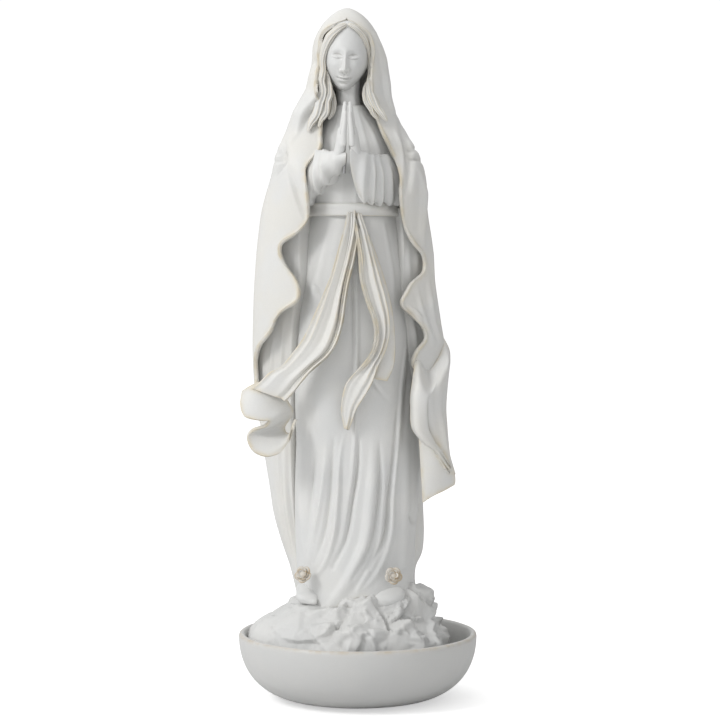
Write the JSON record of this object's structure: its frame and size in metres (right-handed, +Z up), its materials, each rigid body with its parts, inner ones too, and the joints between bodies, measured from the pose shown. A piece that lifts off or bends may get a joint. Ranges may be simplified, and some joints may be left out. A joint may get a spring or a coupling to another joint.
{
  "type": "madonna statue",
  "caption": "Standing praying figure in a hooded mantle and sashed robe, on a craggy rock mound that rises from a shallow open bowl.",
  "frame": {"origin": "on the table under the centre of the bowl's foot", "axes": "+Z up through the figure; the figure faces -Y; +X is the figure's left"},
  "size_m": [0.1038, 0.1038, 0.3],
  "materials": {
    "felt": "pressed felt",
    "bowl_glaze": "smooth satin white",
    "steel": "drawn steel bar",
    "rock_white": "rough matte white",
    "robe_white": "fine matte white",
    "sash_wash": "matte white with cream edges",
    "skin_white": "fine matte white",
    "hair_wash": "matte white with a faint cream wash",
    "mantle_white": "matte white with cream hems",
    "rose_wash": "matte white with a golden wash"
  },
  "bodies": {
    "root": {"felt_pad": "felt", "bowl": "bowl_glaze", "armature_rod": "steel", "rock_mound": "rock_white", "robe_skirt": "robe_white", "robe_bodice": "robe_white", "sash_band": "sash_wash", "sash_tail_right": "sash_wash", "sash_tail_left": "sash_wash", "head": "skin_white", "hair": "hair_wash", "hand_dowels": "steel", "hand_right": "skin_white", "hand_left": "skin_white", "sleeve_right": "robe_white", "sleeve_left": "robe_white", "mantle": "mantle_white", "mantle_fall": "mantle_white", "foot_right": "skin_white", "foot_left": "skin_white", "rose_right": "rose_wash", "rose_left": "rose_wash"}
  },
  "joints": []
}
